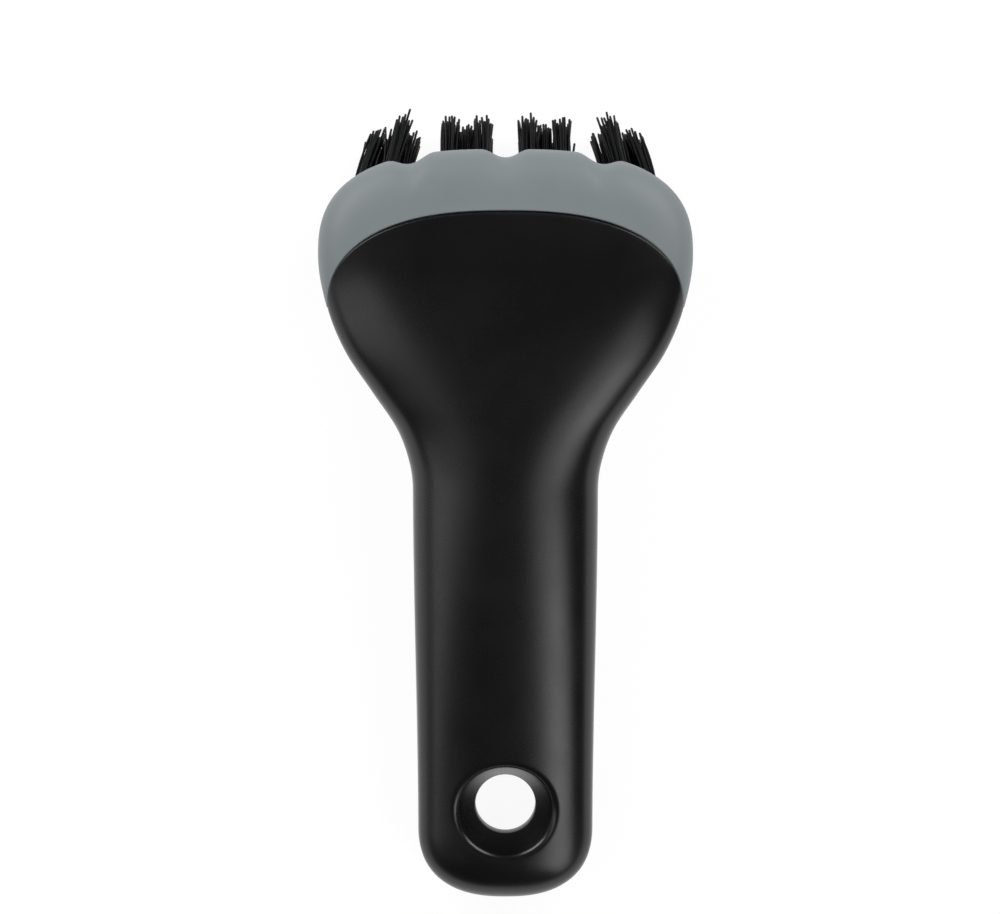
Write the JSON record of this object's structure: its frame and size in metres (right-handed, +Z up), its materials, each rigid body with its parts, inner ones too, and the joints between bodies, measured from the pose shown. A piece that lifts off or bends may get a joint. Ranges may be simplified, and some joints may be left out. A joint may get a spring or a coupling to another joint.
{
  "type": "grill brush",
  "caption": "Hand brush for ridged grill plates: a soft waisted handle with a hang hole and a scalloped scraper head set with clustered nylon tufts.",
  "frame": {"origin": "centre of the underside of the bounding box, on the table that the brush lies on", "axes": "+Y from the end of the handle towards the scraper lip, +Z up off the table, +X across the head"},
  "size_m": [0.0816, 0.1752, 0.0367],
  "materials": {
    "soft_black_elastomer": "soft matte",
    "stiff_black_plastic": "satin",
    "grey_nylon": "satin",
    "black_nylon_filament": "satin",
    "anchor_wire": "drawn wire"
  },
  "bodies": {
    "root": {"grip": "soft_black_elastomer", "handle_core": "stiff_black_plastic", "scraper_head": "grey_nylon", "tuft_01": "black_nylon_filament", "tuft_02": "black_nylon_filament", "tuft_03": "black_nylon_filament", "tuft_04": "black_nylon_filament", "tuft_05": "black_nylon_filament", "tuft_06": "black_nylon_filament", "tuft_07": "black_nylon_filament", "tuft_08": "black_nylon_filament", "tuft_09": "black_nylon_filament", "tuft_10": "black_nylon_filament", "tuft_11": "black_nylon_filament", "tuft_12": "black_nylon_filament", "tuft_13": "black_nylon_filament", "tuft_14": "black_nylon_filament", "tuft_15": "black_nylon_filament", "tuft_16": "black_nylon_filament", "tuft_17": "black_nylon_filament", "tuft_18": "black_nylon_filament", "tuft_19": "black_nylon_filament", "tuft_20": "black_nylon_filament", "tuft_21": "black_nylon_filament", "tuft_22": "black_nylon_filament", "tuft_23": "black_nylon_filament", "tuft_24": "black_nylon_filament", "tuft_anchor_01": "anchor_wire", "tuft_anchor_02": "anchor_wire", "tuft_anchor_03": "anchor_wire", "tuft_anchor_04": "anchor_wire", "tuft_anchor_05": "anchor_wire", "tuft_anchor_06": "anchor_wire", "tuft_anchor_07": "anchor_wire", "tuft_anchor_08": "anchor_wire", "tuft_anchor_09": "anchor_wire", "tuft_anchor_10": "anchor_wire", "tuft_anchor_11": "anchor_wire", "tuft_anchor_12": "anchor_wire", "tuft_anchor_13": "anchor_wire", "tuft_anchor_14": "anchor_wire", "tuft_anchor_15": "anchor_wire", "tuft_anchor_16": "anchor_wire", "tuft_anchor_17": "anchor_wire", "tuft_anchor_18": "anchor_wire", "tuft_anchor_19": "anchor_wire", "tuft_anchor_20": "anchor_wire", "tuft_anchor_21": "anchor_wire", "tuft_anchor_22": "anchor_wire", "tuft_anchor_23": "anchor_wire", "tuft_anchor_24": "anchor_wire"}
  },
  "joints": []
}
